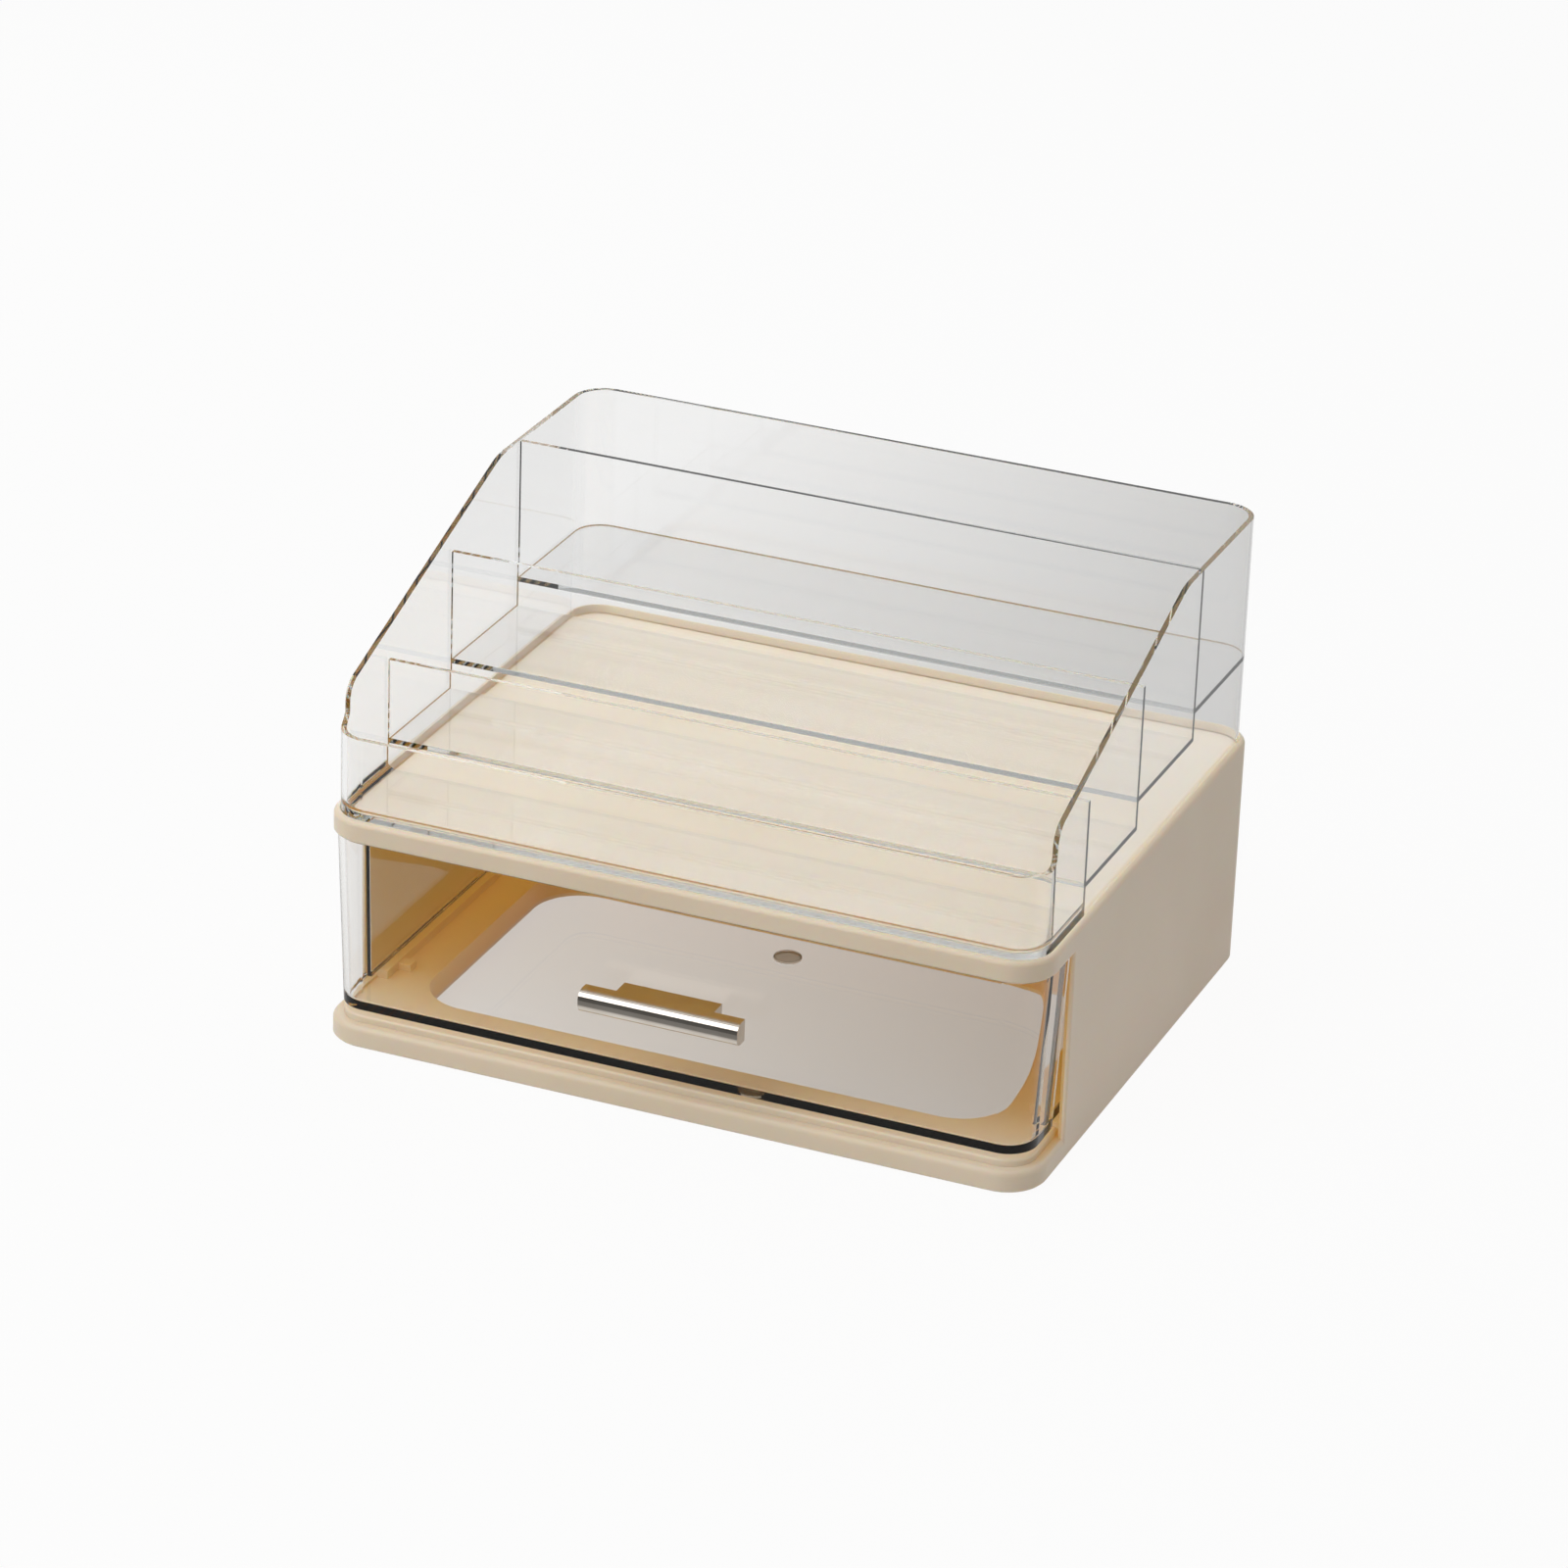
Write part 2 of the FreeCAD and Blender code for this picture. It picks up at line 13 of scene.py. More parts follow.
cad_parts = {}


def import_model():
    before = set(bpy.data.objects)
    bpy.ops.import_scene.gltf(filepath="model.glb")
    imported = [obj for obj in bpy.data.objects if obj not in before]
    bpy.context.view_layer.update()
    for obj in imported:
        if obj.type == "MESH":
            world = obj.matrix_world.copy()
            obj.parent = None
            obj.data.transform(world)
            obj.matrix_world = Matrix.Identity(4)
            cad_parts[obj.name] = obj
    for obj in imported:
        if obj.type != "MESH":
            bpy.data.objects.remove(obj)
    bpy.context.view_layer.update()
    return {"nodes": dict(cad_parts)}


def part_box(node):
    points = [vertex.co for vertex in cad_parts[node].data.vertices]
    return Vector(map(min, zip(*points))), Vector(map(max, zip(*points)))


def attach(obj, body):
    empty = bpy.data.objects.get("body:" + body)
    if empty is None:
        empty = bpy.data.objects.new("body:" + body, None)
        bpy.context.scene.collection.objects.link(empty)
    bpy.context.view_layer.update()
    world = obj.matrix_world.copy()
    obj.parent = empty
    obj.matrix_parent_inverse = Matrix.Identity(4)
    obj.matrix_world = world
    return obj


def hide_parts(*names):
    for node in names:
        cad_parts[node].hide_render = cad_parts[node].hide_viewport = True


LOG = logging.getLogger("vanity_organizer")
MM = 0.001

# How often light may turn: the clear walls mirror and pass it many times before it leaves by an edge.
MOST_TURNS = 48
MOST_MIRRORINGS = 24
MOST_CLEAR_SHADOWS = 40

# An end face looks along its piece's axis at least this squarely.
SQUARE_ON = 0.99


class Body(Enum):
    """The three bodies that move against each other."""

    CABINET = "cabinet"
    DRAWER = "drawer"
    RACK = "rack"


class Slot(Enum):
    """The record's material slots."""

    CREAM = "cream_plastic"
    CLEAR = "clear_plastic"
    PLATED = "plated_metal"
    SCREW = "screw_steel"
    RUBBER = "foot_rubber"


class End(Enum):
    """The two ends of an upright piece."""

    UPPER = "upper"
    LOWER = "lower"


def linear(hex_colour: str) -> tuple[float, float, float, float]:
    """Turns an sRGB hex colour into a linear one.

    Args:
        hex_colour: A colour such as "#e8dcc8".

    Returns:
        Red, green, blue and an alpha of 1, in linear light.
    """
    channels = (int(hex_colour[i:i + 2], 16) / 255 for i in (1, 3, 5))
    red, green, blue = (c / 12.92 if c <= 0.04045 else ((c + 0.055) / 1.055) ** 2.4 for c in channels)
    return (red, green, blue, 1.0)


def per_metre(pattern_mm: float) -> float:
    """Gives a texture's scale, in repeats per metre, from the size of one repeat in millimetres."""
    return 1 / (pattern_mm * MM)


def add_node(tree: bpy.types.NodeTree, kind: str, inputs: dict | None = None, **settings) -> bpy.types.Node:
    """Adds a node, with its settings, its constants and its links.

    Args:
        tree: The node tree that gets the node.
        kind: The node's type name.
        inputs: Socket name or number to a constant, or to an output socket to link from.
        settings: Attributes of the node itself.

    Returns:
        The new node.
    """
    node = tree.nodes.new(kind)
    for name, setting in settings.items():
        setattr(node, name, setting)
    for socket, value in (inputs or {}).items():
        if isinstance(value, bpy.types.NodeSocket):
            tree.links.new(value, node.inputs[socket])
        else:
            node.inputs[socket].default_value = value
    return node


def set_stops(ramp: bpy.types.Node, stops: tuple[tuple[float, tuple], ...]) -> None:
    """Gives a colour ramp its stops.

    Args:
        ramp: A ColorRamp node.
        stops: Place from 0 to 1 and linear colour of each stop, in order.
    """
    elements = ramp.color_ramp.elements
    for _ in range(len(stops) - len(elements)):
        elements.new(1.0)
    for element, (place, colour) in zip(elements, stops):
        element.position = place
        element.color = colour


def grey(level: float) -> tuple[float, float, float, float]:
    """Gives a neutral linear colour of that level."""
    return (level, level, level, 1.0)


def new_material(name: str) -> tuple[bpy.types.Material, bpy.types.NodeTree]:
    """Starts an empty node material.

    Args:
        name: The material's name.

    Returns:
        The material and its node tree.
    """
    material = bpy.data.materials.new(name)
    material.use_nodes = True
    material.node_tree.nodes.clear()
    return material, material.node_tree


def dress(node: bpy.types.Object, material: bpy.types.Material) -> None:
    """Gives every material slot of an object the same finish.

    Args:
        node: The object.
        material: Its finish.
    """
    if not node.material_slots:
        node.data.materials.append(material)
    for material_slot in node.material_slots:
        material_slot.material = material


@dataclass(frozen=True)
class CreamMoulding:
    """Cream ABS, injection moulded in a satin, finely spark-eroded tool."""

    name: str = "cream_abs_satin_moulded"
    colour: str = "#e6d8c2"
    flow_colour: str = "#e2d3bb"
    flow_mm: float = 90.0
    flow_stops: tuple[float, float] = (0.35, 0.65)
    bend: float = 1.53
    gloss_mm: float = 35.0
    gloss_roughness: tuple[float, float] = (0.34, 0.44)
    grit_mm: float = 0.9
    grit_depth_mm: float = 0.012
    grit_strength: float = 0.5
    # Light that sinks into the plastic: red goes deepest
    sink_weight: float = 0.5
    sink_depth_mm: float = 3.0
    sink_colours: tuple[float, float, float] = (1.0, 0.5, 0.2)
    # The painted shade inside: its deeper, warmer tone, how far behind the front and above the base it sets in, and
    # what bounds it
    painted_shade_colour: str = "#e7cb8b"
    inside_fade_mm: tuple[float, float] = (5.0, 48.0)
    floor_fade_mm: tuple[float, float] = (12.5, 20.0)
    floor_share: float = 0.68
    corner_mm: float = 15.5
    wall_mm: float = 2.8
    roof_mm: float = 4.0
    # Lamp light that comes through the walls
    shine_through: str = "#f0d683"
    glow_colour: str = "#e8d48c"
    glow_share: float = 0.62

    def inside(self, tree: bpy.types.NodeTree, place: bpy.types.NodeSocket, node: str) -> bpy.types.NodeSocket:
        """Marks the faces inside the moulding, which get a painted shade: a deeper warm tone that stands for light
        that has bounced from wall to wall and comes back warmer.

        Args:
            tree: The material's node tree.
            place: The surface point in the part's frame.
            node: The CAD node whose box the inside is measured from.

        Returns:
            An output that rises from 0 at the mouth to 1 deep inside, and less along the floor.
        """
        low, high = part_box(node)
        axes = add_node(tree, "ShaderNodeSeparateXYZ", {"Vector": place})
        near, deep = (low.y + depth * MM for depth in self.inside_fade_mm)
        mark = add_node(tree, "ShaderNodeMapRange",
                        {"Value": axes.outputs["Y"], "From Min": near, "From Max": deep}).outputs["Result"]
        floor_top, above = (low.z + height * MM for height in self.floor_fade_mm)
        by_height = add_node(tree, "ShaderNodeMapRange",
                             {"Value": axes.outputs["Z"], "From Min": floor_top, "From Max": above,
                              "To Min": self.floor_share})
        mark = add_node(tree, "ShaderNodeMath", {0: mark, 1: by_height.outputs["Result"]},
                        operation="MULTIPLY").outputs["Value"]
        half_wall = self.wall_mm * MM / 2
        limits = ((self.from_corner(tree, place, low, high), "LESS_THAN", self.corner_mm * MM - half_wall),
                  (axes.outputs["Z"], "LESS_THAN", high.z - self.roof_mm * MM),
                  (axes.outputs["Z"], "GREATER_THAN", low.z + half_wall))
        for along, side, limit in limits:
            within = add_node(tree, "ShaderNodeMath", {0: along, 1: limit}, operation=side)
            mark = add_node(tree, "ShaderNodeMath", {0: mark, 1: within.outputs["Value"]},
                            operation="MULTIPLY").outputs["Value"]
        return mark

    def from_corner(self, tree: bpy.types.NodeTree, place: bpy.types.NodeSocket, low: Vector,
                    high: Vector) -> bpy.types.NodeSocket:
        """Measures, seen from above, how far a point lies outward of the rounded corners' centres.

        Args:
            tree: The material's node tree.
            place: The surface point in the part's frame.
            low: The moulding's lowest corner.
            high: The moulding's highest corner.

        Returns:
            An output that is the corner radius on the outer faces and less within the wall.
        """
        middle, reach = (low + high) / 2, (high - low) / 2
        straight = (reach.x - self.corner_mm * MM, reach.y - self.corner_mm * MM, reach.z)
        spread = place
        for operation, other in (("SUBTRACT", tuple(middle)), ("ABSOLUTE", None), ("SUBTRACT", straight),
                                 ("MAXIMUM", (0.0, 0.0, 0.0))):
            inputs = {0: spread} if other is None else {0: spread, 1: other}
            spread = add_node(tree, "ShaderNodeVectorMath", inputs, operation=operation).outputs["Vector"]
        return add_node(tree, "ShaderNodeVectorMath", {0: spread}, operation="LENGTH").outputs["Value"]

    def make(self, node: str) -> bpy.types.Material:
        """Makes the finish: an even soft sheen, a hair of grit, a slow drift of tone where the melt flowed, and a
        painted warm shade inside.

        Args:
            node: The CAD node that wears it.

        Returns:
            The finished material.
        """
        material, tree = new_material(self.name)
        place = add_node(tree, "ShaderNodeTexCoord").outputs["Object"]
        flow = add_node(tree, "ShaderNodeTexNoise",
                        {"Vector": place, "Scale": per_metre(self.flow_mm), "Detail": 2.0})
        tone = add_node(tree, "ShaderNodeValToRGB", {"Fac": flow.outputs["Fac"]})
        set_stops(tone, tuple(zip(self.flow_stops, (linear(self.flow_colour), linear(self.colour)))))
        inside = self.inside(tree, place, node)
        # Painted shade: the inside faces are mixed towards a deeper, warmer tone.
        colour = add_node(tree, "ShaderNodeMix",
                          {0: inside, 6: tone.outputs["Color"], 7: linear(self.painted_shade_colour)}, data_type="RGBA")
        sheen = add_node(tree, "ShaderNodeTexNoise",
                         {"Vector": place, "Scale": per_metre(self.gloss_mm), "Detail": 3.0})
        glossiest, dullest = self.gloss_roughness
        rough = add_node(tree, "ShaderNodeMapRange",
                         {"Value": sheen.outputs["Fac"], "To Min": glossiest, "To Max": dullest})
        # The real spark grit is about 0.05 mm: it is drawn coarser so that it shows at all.
        grit = add_node(tree, "ShaderNodeTexNoise",
                        {"Vector": place, "Scale": per_metre(self.grit_mm), "Detail": 2.0})
        bump = add_node(tree, "ShaderNodeBump",
                        {"Height": grit.outputs["Fac"], "Distance": self.grit_depth_mm * MM,
                         "Strength": self.grit_strength})
        shader = add_node(tree, "ShaderNodeBsdfPrincipled",
                          {"Base Color": colour.outputs[2], "Roughness": rough.outputs["Result"],
                           "Normal": bump.outputs["Normal"], "IOR": self.bend,
                           "Subsurface Weight": self.sink_weight, "Subsurface Scale": self.sink_depth_mm * MM,
                           "Subsurface Radius": self.sink_colours})
        # The thin walls let some lamp light through, which comes out amber: it makes the inside glow.
        lit_from_behind = add_node(tree, "ShaderNodeBsdfTranslucent", {"Color": linear(self.glow_colour)})
        share = add_node(tree, "ShaderNodeMath", {0: inside, 1: self.glow_share}, operation="MULTIPLY")
        wall = add_node(tree, "ShaderNodeMixShader",
                        {0: share.outputs["Value"], 1: shader.outputs["BSDF"], 2: lit_from_behind.outputs["BSDF"]})
        amber = add_node(tree, "ShaderNodeBsdfTransparent", {"Color": linear(self.shine_through)})
        path = add_node(tree, "ShaderNodeLightPath")
        mixed = add_node(tree, "ShaderNodeMixShader",
                         {0: path.outputs["Is Shadow Ray"], 1: wall.outputs["Shader"], 2: amber.outputs["BSDF"]})
        add_node(tree, "ShaderNodeOutputMaterial", {"Surface": mixed.outputs["Shader"]})
        return material


@dataclass(frozen=True)
class ClearMoulding:
    """Clear polystyrene, injection moulded in a polished tool.

    The plastic's own bend is 1.59. It is set lower, to match how much light the photographed edges hold.
    """

    name: str = "clear_polystyrene_moulded"
    tint: str = "#fcfcfb"
    bend: float = 1.45
    depth_colour: str = "#d8dcdc"
    density: float = 14.0
    ripple_mm: float = 45.0
    ripple_depth_mm: float = 0.005
    ripple_strength: float = 0.3
    haze_mm: float = 20.0
    haze_roughness: float = 0.03
    # The round pad where the melt came in
    gate_radius_mm: float = 5.3
    gate_roughness: float = 0.35
    gate_colour: str = "#b4b0aa"
    gate_rim_mm: float = 0.9
    gate_rim_colour: str = "#5f574d"

    def from_gate(self, tree: bpy.types.NodeTree, place: bpy.types.NodeSocket, node: str) -> bpy.types.NodeSocket:
        """Measures, seen from above, how far a point lies from the gate in the middle of a moulding.

        Args:
            tree: The material's node tree.
            place: The surface point in the part's frame.
            node: The CAD node whose box the middle is taken from.

        Returns:
            An output with the distance.
        """
        low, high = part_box(node)
        middle = ((low.x + high.x) / 2, (low.y + high.y) / 2, 0.0)
        flat = add_node(tree, "ShaderNodeVectorMath", {0: place, 1: (1.0, 1.0, 0.0)}, operation="MULTIPLY")
        away = add_node(tree, "ShaderNodeVectorMath", {0: flat.outputs["Vector"], 1: middle}, operation="DISTANCE")
        return away.outputs["Value"]

    def make(self, gated_node: str | None = None) -> bpy.types.Material:
        """Makes the finish: glass-clear faces with a slow ripple, and edges that gather grey along their depth.

        Args:
            gated_node: The CAD node that shows the moulding's frosted gate mark, if any.

        Returns:
            The finished material.
        """
        material, tree = new_material(self.name)
        place = add_node(tree, "ShaderNodeTexCoord").outputs["Object"]
        ripple = add_node(tree, "ShaderNodeTexNoise",
                          {"Vector": place, "Scale": per_metre(self.ripple_mm), "Detail": 1.0})
        bump = add_node(tree, "ShaderNodeBump",
                        {"Height": ripple.outputs["Fac"], "Distance": self.ripple_depth_mm * MM,
                         "Strength": self.ripple_strength})
        haze = add_node(tree, "ShaderNodeTexNoise",
                        {"Vector": place, "Scale": per_metre(self.haze_mm), "Detail": 2.0})
        rough = add_node(tree, "ShaderNodeMapRange",
                         {"Value": haze.outputs["Fac"], "To Min": 0.0, "To Max": self.haze_roughness})
        colour, roughness = grey(1.0), rough.outputs["Result"]
        if gated_node:
            away = self.from_gate(tree, place, gated_node)
            gate = add_node(tree, "ShaderNodeMath", {0: away, 1: self.gate_radius_mm * MM},
                            operation="LESS_THAN").outputs["Value"]
            rim = add_node(tree, "ShaderNodeMapRange",
                           {"Value": away, "From Min": (self.gate_radius_mm - self.gate_rim_mm) * MM,
                            "From Max": self.gate_radius_mm * MM}).outputs["Result"]
            pad = add_node(tree, "ShaderNodeMix",
                           {0: rim, 6: linear(self.gate_colour), 7: linear(self.gate_rim_colour)},
                           data_type="RGBA").outputs[2]
            colour = add_node(tree, "ShaderNodeMix", {0: gate, 6: colour, 7: pad}, data_type="RGBA").outputs[2]
            roughness = add_node(tree, "ShaderNodeMix",
                                 {0: gate, 2: roughness, 3: self.gate_roughness}).outputs[0]
        clear = add_node(tree, "ShaderNodeBsdfPrincipled",
                         {"Base Color": colour, "Transmission Weight": 1.0, "IOR": self.bend,
                          "Roughness": roughness, "Normal": bump.outputs["Normal"]})
        lets_light_in = add_node(tree, "ShaderNodeBsdfTransparent", {"Color": linear(self.tint)})
        path = add_node(tree, "ShaderNodeLightPath")
        mixed = add_node(tree, "ShaderNodeMixShader",
                         {0: path.outputs["Is Shadow Ray"], 1: clear.outputs["BSDF"],
                          2: lets_light_in.outputs["BSDF"]})
        depth = add_node(tree, "ShaderNodeVolumeAbsorption",
                         {"Color": linear(self.depth_colour), "Density": self.density})
        add_node(tree, "ShaderNodeOutputMaterial",
                 {"Surface": mixed.outputs["Shader"], "Volume": depth.outputs["Volume"]})
        return material


@dataclass(frozen=True)
class NickelPlate:
    """Bright nickel-chrome plate on a polished zinc casting."""

    name: str = "nickel_chrome_plated_zinc"
    colour: str = "#d9d2c8"
    cloud_colour: str = "#cfc6ba"
    cloud_mm: float = 12.0
    cloud_stops: tuple[float, float] = (0.3, 0.7)
    polish_mm: float = 0.5
    polish_stretch: float = 0.03
    polish_roughness: tuple[float, float] = (0.07, 0.16)

    def make(self) -> bpy.types.Material:
        """Makes the finish: a warm mirror, slightly softened by polishing lines along the bar.

        Returns:
            The finished material.
        """
        material, tree = new_material(self.name)
        place = add_node(tree, "ShaderNodeTexCoord").outputs["Object"]
        cloud = add_node(tree, "ShaderNodeTexNoise",
                         {"Vector": place, "Scale": per_metre(self.cloud_mm), "Detail": 2.0})
        tone = add_node(tree, "ShaderNodeValToRGB", {"Fac": cloud.outputs["Fac"]})
        set_stops(tone, tuple(zip(self.cloud_stops, (linear(self.cloud_colour), linear(self.colour)))))
        along = add_node(tree, "ShaderNodeMapping", {"Vector": place, "Scale": (self.polish_stretch, 1.0, 1.0)})
        lines = add_node(tree, "ShaderNodeTexNoise",
                         {"Vector": along.outputs["Vector"], "Scale": per_metre(self.polish_mm), "Detail": 3.0})
        glossiest, dullest = self.polish_roughness
        rough = add_node(tree, "ShaderNodeMapRange",
                         {"Value": lines.outputs["Fac"], "To Min": glossiest, "To Max": dullest})
        shader = add_node(tree, "ShaderNodeBsdfPrincipled",
                          {"Base Color": tone.outputs["Color"], "Metallic": 1.0,
                           "Roughness": rough.outputs["Result"]})
        add_node(tree, "ShaderNodeOutputMaterial", {"Surface": shader.outputs["BSDF"]})
        return material


@dataclass(frozen=True)
class ZincSteel:
    """Mild steel screw, zinc plated."""

    name: str = "zinc_plated_steel"
    colour: str = "#b9bcc0"
    dull_colour: str = "#a2a5a8"
    mottle_mm: float = 1.2
    mottle_stops: tuple[float, float] = (0.3, 0.7)
    mottle_roughness: tuple[float, float] = (0.25, 0.42)

    def make(self) -> bpy.types.Material:
        """Makes the finish: a cool grey metal with a fine mottle.

        Returns:
            The finished material.
        """
        material, tree = new_material(self.name)
        place = add_node(tree, "ShaderNodeTexCoord").outputs["Object"]
        mottle = add_node(tree, "ShaderNodeTexNoise",
                          {"Vector": place, "Scale": per_metre(self.mottle_mm), "Detail": 3.0})
        tone = add_node(tree, "ShaderNodeValToRGB", {"Fac": mottle.outputs["Fac"]})
        set_stops(tone, tuple(zip(self.mottle_stops, (linear(self.dull_colour), linear(self.colour)))))
        glossiest, dullest = self.mottle_roughness
        rough = add_node(tree, "ShaderNodeMapRange",
                         {"Value": mottle.outputs["Fac"], "To Min": glossiest, "To Max": dullest})
        shader = add_node(tree, "ShaderNodeBsdfPrincipled",
                          {"Base Color": tone.outputs["Color"], "Metallic": 1.0,
                           "Roughness": rough.outputs["Result"]})
        add_node(tree, "ShaderNodeOutputMaterial", {"Surface": shader.outputs["BSDF"]})
        return material


@dataclass(frozen=True)
class FootFoam:
    """Pale grey EVA foam, die cut."""

    name: str = "eva_foam_die_cut"
    colour: str = "#c9c5bd"
    cell_colour: str = "#b7b2a9"
    cell_mm: float = 0.6
    cell_stops: tuple[float, float] = (0.1, 0.6)
    cell_depth_mm: float = 0.05
    cell_strength: float = 0.6
    roughness: float = 0.85

    def make(self) -> bpy.types.Material:
        """Makes the finish: a dull pad with a fine closed cell.

        Returns:
            The finished material.
        """
        material, tree = new_material(self.name)
        place = add_node(tree, "ShaderNodeTexCoord").outputs["Object"]
        cells = add_node(tree, "ShaderNodeTexVoronoi", {"Vector": place, "Scale": per_metre(self.cell_mm)})
        tone = add_node(tree, "ShaderNodeValToRGB", {"Fac": cells.outputs["Distance"]})
        set_stops(tone, tuple(zip(self.cell_stops, (linear(self.cell_colour), linear(self.colour)))))
        bump = add_node(tree, "ShaderNodeBump",
                        {"Height": cells.outputs["Distance"], "Distance": self.cell_depth_mm * MM,
                         "Strength": self.cell_strength})
        shader = add_node(tree, "ShaderNodeBsdfPrincipled",
                          {"Base Color": tone.outputs["Color"], "Roughness": self.roughness,
                           "Normal": bump.outputs["Normal"]})
        add_node(tree, "ShaderNodeOutputMaterial", {"Surface": shader.outputs["BSDF"]})
        return material


@dataclass(frozen=True)
class StudioPaper:
    """White seamless paper, matt."""

    name: str = "white_seamless_paper"
    colour: str = "#dedddb"
    fibre_colour: str = "#dad9d7"
    fibre_mm: float = 3.0
    fibre_stops: tuple[float, float] = (0.3, 0.7)
    # How much of the paper shines by itself, seen straight and seen through clear plastic
    straight_glow: float = 0.94
    passing_glow: float = 0.72
    # Seen through clear plastic, a painted fall of light: its glow is brighter on the left and dimmer on the right
    light_side_mm: float = -260.0
    dim_side_mm: float = 110.0
    light_level: float = 1.03
    dim_level: float = 0.51
    # Seen in a mirror, a painted fall of light: its glow darkens towards the front
    near_front_mm: float = -150.0
    dark_front_mm: float = -215.0
    near_level: float = 0.85
    dark_level: float = 0.12

    def make(self) -> bpy.types.Material:
        """Makes the floor's finish: white to the eye, and shaded where the object stands.

        Returns:
            The finished material.
        """
        material, tree = new_material(self.name)
        place = add_node(tree, "ShaderNodeTexCoord").outputs["Object"]
        fibre = add_node(tree, "ShaderNodeTexNoise",
                         {"Vector": place, "Scale": per_metre(self.fibre_mm), "Detail": 4.0})
        tone = add_node(tree, "ShaderNodeValToRGB", {"Fac": fibre.outputs["Fac"]})
        set_stops(tone, tuple(zip(self.fibre_stops, (linear(self.fibre_colour), linear(self.colour)))))
        paper = add_node(tree, "ShaderNodeBsdfDiffuse", {"Color": tone.outputs["Color"]})
        path = add_node(tree, "ShaderNodeLightPath")
        straight, mirrored, passing = (path.outputs[kind] for kind in
                                       ("Is Camera Ray", "Is Glossy Ray", "Is Transmission Ray"))
        axes = add_node(tree, "ShaderNodeSeparateXYZ", {"Vector": place})
        # Painted light: the glow's strength follows these falls across and ahead.
        across = add_node(tree, "ShaderNodeMapRange",
                          {"Value": axes.outputs["X"], "From Min": self.light_side_mm * MM,
                           "From Max": self.dim_side_mm * MM, "To Min": self.light_level, "To Max": self.dim_level})
        ahead = add_node(tree, "ShaderNodeMapRange",
                         {"Value": axes.outputs["Y"], "From Min": self.near_front_mm * MM,
                          "From Max": self.dark_front_mm * MM, "To Min": self.near_level, "To Max": self.dark_level})
        level, share = ahead.outputs["Result"], mirrored
        for rays, its_level, its_share in ((passing, across.outputs["Result"], self.passing_glow),
                                           (straight, 1.0, self.straight_glow)):
            level = add_node(tree, "ShaderNodeMix", {0: rays, 2: level, 3: its_level}).outputs[0]
            share = add_node(tree, "ShaderNodeMix", {0: rays, 2: share, 3: its_share}).outputs[0]
        glow = add_node(tree, "ShaderNodeEmission", {"Color": grey(1.0), "Strength": level})
        mixed = add_node(tree, "ShaderNodeMixShader",
                         {0: share, 1: paper.outputs["BSDF"], 2: glow.outputs["Emission"]})
        add_node(tree, "ShaderNodeOutputMaterial", {"Surface": mixed.outputs["Shader"]})
        return material


@dataclass
class Cabinet:
    """The cream cabinet and the four pads under it."""

    shell_node: str = "cabinet_shell"
    foot_nodes: tuple[str, ...] = ("foot_front_left", "foot_front_right", "foot_rear_left", "foot_rear_right")

    def dress(self, nodes: dict[str, bpy.types.Object]) -> None:
        """Gives the shell and the pads their finishes.

        Args:
            nodes: The CAD nodes by name.
        """
        dress(nodes[self.shell_node], CreamMoulding().make(self.shell_node))
        foam = FootFoam().make()
        for name in self.foot_nodes:
            dress(nodes[name], foam)
        LOG.info("cabinet: shell and %d pads", len(self.foot_nodes))


